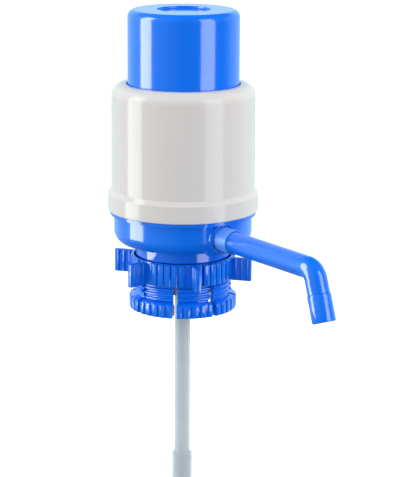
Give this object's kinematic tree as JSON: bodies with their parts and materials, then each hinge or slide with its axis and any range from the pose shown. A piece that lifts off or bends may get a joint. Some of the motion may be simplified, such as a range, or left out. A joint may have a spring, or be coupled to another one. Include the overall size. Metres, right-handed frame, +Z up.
{
  "type": "water jug hand pump",
  "caption": "Press-top hand pump that clamps on a water jug's neck: a sprung cap, a flared shell, a swivelling bent spout, a winged clamp ring, a threaded collet and a dip tube.",
  "frame": {"origin": "centre of the neck gasket's seat on the jug's rim, on the pump's axis", "axes": "+Z up along the pump's axis towards the press cap; the spout points along -Y"},
  "size_m": [0.1136, 0.2385, 0.5462],
  "materials": {
    "blue_plastic": "gloss",
    "white_plastic": "gloss",
    "inner_plastic": "satin",
    "dark_rubber": "matte",
    "steel": "satin",
    "frosted_tube": "satin"
  },
  "bodies": {
    "base": {"base_housing": "blue_plastic", "neck_gasket": "dark_rubber", "water_elbow": "inner_plastic", "elbow_seal": "dark_rubber", "deck_gasket": "dark_rubber", "valve_deck": "inner_plastic", "outlet_keeper": "inner_plastic", "deck_screws": "steel", "barrel_gasket": "dark_rubber", "pump_barrel": "inner_plastic", "outer_shell": "white_plastic", "return_spring": "steel", "dip_tube_upper": "frosted_tube", "tube_coupler": "frosted_tube", "dip_tube_lower": "frosted_tube", "foot_strainer": "inner_plastic"},
    "plunger": {"press_cap": "blue_plastic", "piston": "inner_plastic", "piston_seal": "dark_rubber", "plunger_screws": "steel", "intake_keeper": "inner_plastic"},
    "intake_flap": {"intake_valve": "dark_rubber"},
    "outlet_flap": {"outlet_valve": "dark_rubber"},
    "spout": {"spout_sleeve": "blue_plastic", "sleeve_clip": "steel", "socket_seal": "dark_rubber", "spout_tube": "blue_plastic", "spout_nozzle": "blue_plastic"},
    "clamp": {"clamp_ring": "blue_plastic"},
    "collet": {"neck_collet": "blue_plastic"}
  },
  "joints": [
    {"name": "press", "type": "slide", "parent": "base", "child": "plunger", "axis": [0, 0, -1], "range_m": [0, 0.05], "stiffness_N_per_m": 400, "springref_m": -0.04, "deforming": ["return_spring"]},
    {"name": "intake_flap_lift", "type": "slide", "parent": "plunger", "child": "intake_flap", "axis": [0, 0, -1], "range_m": [0, 0.0015], "stiffness_N_per_m": 5, "springref_m": -0.002},
    {"name": "outlet_flap_lift", "type": "slide", "parent": "base", "child": "outlet_flap", "axis": [0, 0, -1], "range_m": [0, 0.0015], "stiffness_N_per_m": 5, "springref_m": -0.002},
    {"name": "spout_swivel", "type": "hinge", "parent": "base", "child": "spout", "pos_m": [0, -0.054, 0.0241], "axis": [0, -1, 0], "continuous": true},
    {"name": "clamp_turn", "type": "hinge", "parent": "base", "child": "clamp", "pos_m": [0, 0, -0.006], "axis": [0, 0, -1], "range_deg": [0, 1080]},
    {"name": "collet_lift", "type": "slide", "parent": "base", "child": "collet", "axis": [0, 0, 1], "range_m": [0, 0.0115]}
  ],
  "couplings": [
    {"joint": "collet_lift", "follows": "clamp_turn", "m_per_rad": 0.00060479}
  ]
}
